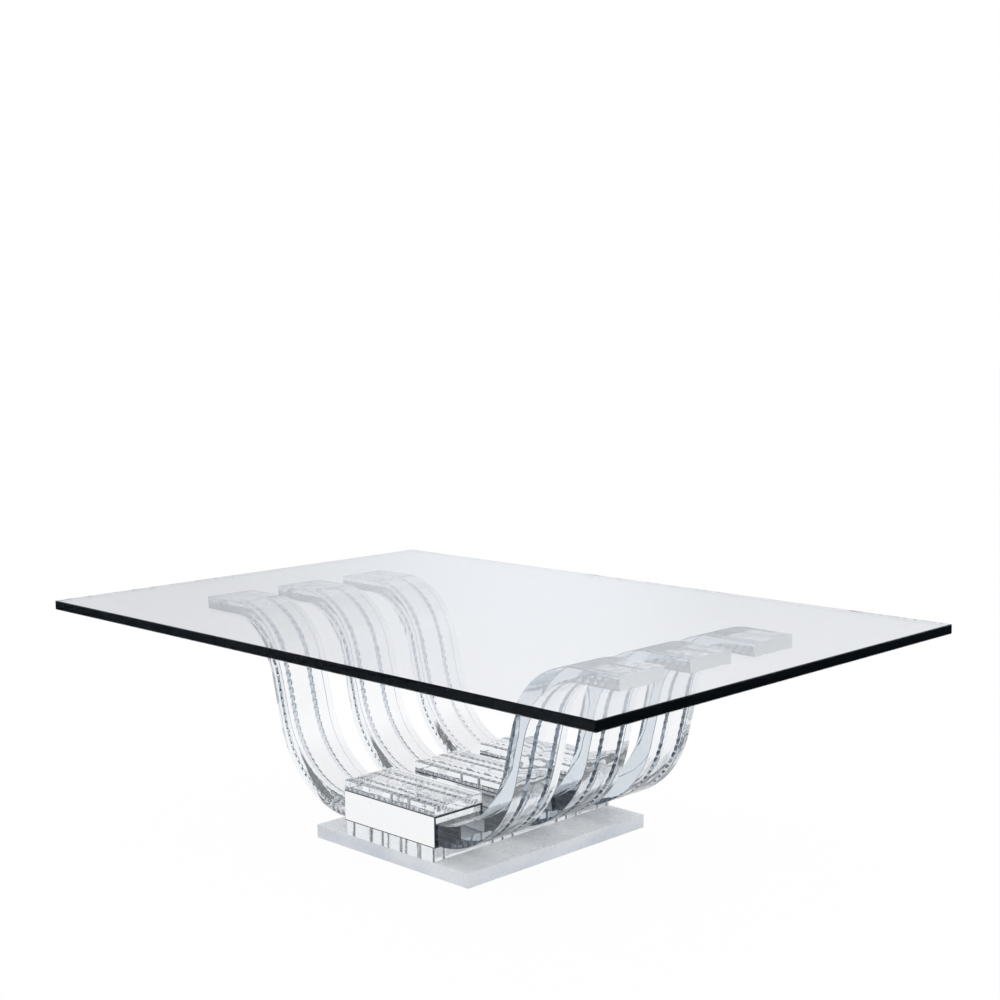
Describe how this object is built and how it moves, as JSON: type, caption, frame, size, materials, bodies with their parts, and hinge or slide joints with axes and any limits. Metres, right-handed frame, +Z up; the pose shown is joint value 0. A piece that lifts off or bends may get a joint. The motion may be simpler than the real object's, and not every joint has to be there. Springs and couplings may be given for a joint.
{
  "type": "waterfall coffee table",
  "caption": "Low table with a rectangular clear glass top on S-shaped ribbed clear acrylic arms that rise from polished steel sleeves on a stepped acrylic base.",
  "frame": {"origin": "on the floor under the centre of the base plate and of the glass", "axes": "+Z up, +X along the long side of the glass and along the arms, +Y along its short side, towards the rear row of arms"},
  "size_m": [1.524, 1.016, 0.4572],
  "materials": {
    "plate_glass": "clear plate glass with polished edges, dark grey-green when seen edge on",
    "clear_acrylic": "clear cast acrylic, polished faces, notched V grooves",
    "frosted_acrylic": "cloudy translucent acrylic with a satin top and polished edges",
    "mirror_steel": "mirror polished stainless steel",
    "bolt_steel": "plain bright steel fasteners",
    "clear_rubber": "clear soft plastic pads"
  },
  "bodies": {
    "root": {"glass_top": "plate_glass", "glass_pads": "clear_rubber", "arm_left_front": "clear_acrylic", "arm_left_middle": "clear_acrylic", "arm_left_rear": "clear_acrylic", "arm_right_front": "clear_acrylic", "arm_right_middle": "clear_acrylic", "arm_right_rear": "clear_acrylic", "sleeve_front": "mirror_steel", "sleeve_middle": "mirror_steel", "sleeve_rear": "mirror_steel", "packer_front": "clear_acrylic", "packer_middle": "clear_acrylic", "packer_rear": "clear_acrylic", "cap_block_front": "clear_acrylic", "cap_block_middle": "clear_acrylic", "cap_block_rear": "clear_acrylic", "riser_plate": "clear_acrylic", "base_plate": "frosted_acrylic", "base_bolts": "bolt_steel", "floor_pads": "clear_rubber"}
  },
  "joints": []
}
